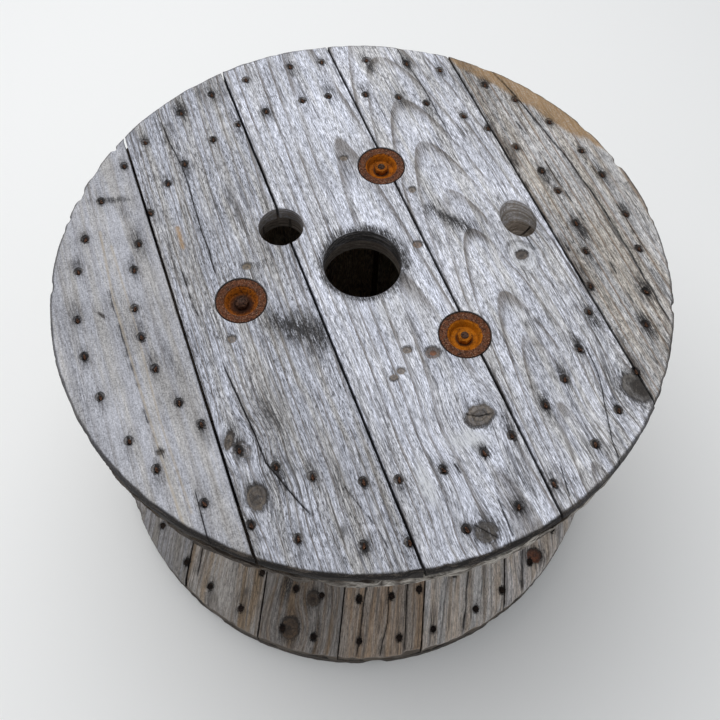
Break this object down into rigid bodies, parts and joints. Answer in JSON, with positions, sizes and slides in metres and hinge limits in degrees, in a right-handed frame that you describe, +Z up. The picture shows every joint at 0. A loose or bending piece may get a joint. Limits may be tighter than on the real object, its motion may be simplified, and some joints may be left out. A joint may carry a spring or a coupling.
{
  "type": "wooden cable drum",
  "caption": "Weathered wooden cable drum with nailed board flanges, a stave barrel, tie rods in cup washers, a spindle bore, drive holes and a slanted cable hole.",
  "frame": {"origin": "centre of the lower flange's outer face, on the spindle axis, at floor level", "axes": "+Z up along the spindle axis; +Y away from the viewer as pictured, +X to the right"},
  "size_m": [0.63, 0.63, 0.415],
  "materials": {
    "weathered_board": "silver-grey weathered softwood, cracked and stained",
    "floor_board": "grey-brown weathered softwood",
    "inside_board": "browner sawn softwood",
    "barrel_stave": "sawn softwood, dry and little weathered",
    "tie_rod_steel": "rusty mild steel, threaded at its ends",
    "rusty_washer": "pressed steel, rusted orange and brown",
    "rusty_nut": "rusted steel",
    "rusty_nail": "rusted steel wire"
  },
  "bodies": {
    "root": {"upper_outer_board_1": "weathered_board", "upper_outer_board_2": "weathered_board", "upper_outer_board_3": "weathered_board", "upper_outer_board_4": "weathered_board", "upper_outer_board_5": "weathered_board", "upper_inner_board_1": "inside_board", "upper_inner_board_2": "inside_board", "upper_inner_board_3": "inside_board", "upper_inner_board_4": "inside_board", "upper_inner_board_5": "inside_board", "upper_inner_board_6": "inside_board", "lower_inner_board_1": "inside_board", "lower_inner_board_2": "inside_board", "lower_inner_board_3": "inside_board", "lower_inner_board_4": "inside_board", "lower_inner_board_5": "inside_board", "lower_inner_board_6": "inside_board", "lower_outer_board_1": "floor_board", "lower_outer_board_2": "floor_board", "lower_outer_board_3": "floor_board", "lower_outer_board_4": "floor_board", "lower_outer_board_5": "floor_board", "stave_1": "barrel_stave", "stave_2": "barrel_stave", "stave_3": "barrel_stave", "stave_4": "barrel_stave", "stave_5": "barrel_stave", "stave_6": "barrel_stave", "stave_7": "barrel_stave", "stave_8": "barrel_stave", "stave_9": "barrel_stave", "stave_10": "barrel_stave", "stave_11": "barrel_stave", "stave_12": "barrel_stave", "stave_13": "barrel_stave", "stave_14": "barrel_stave", "tie_rod_1": "tie_rod_steel", "tie_rod_2": "tie_rod_steel", "tie_rod_3": "tie_rod_steel", "upper_washer_1": "rusty_washer", "upper_washer_2": "rusty_washer", "upper_washer_3": "rusty_washer", "lower_washer_1": "rusty_washer", "lower_washer_2": "rusty_washer", "lower_washer_3": "rusty_washer", "upper_nut_1": "rusty_nut", "upper_nut_2": "rusty_nut", "upper_nut_3": "rusty_nut", "lower_nut_1": "rusty_nut", "lower_nut_2": "rusty_nut", "lower_nut_3": "rusty_nut", "upper_rim_nails": "rusty_nail", "upper_mid_nails": "rusty_nail", "lower_rim_nails": "rusty_nail", "lower_mid_nails": "rusty_nail"}
  },
  "joints": []
}
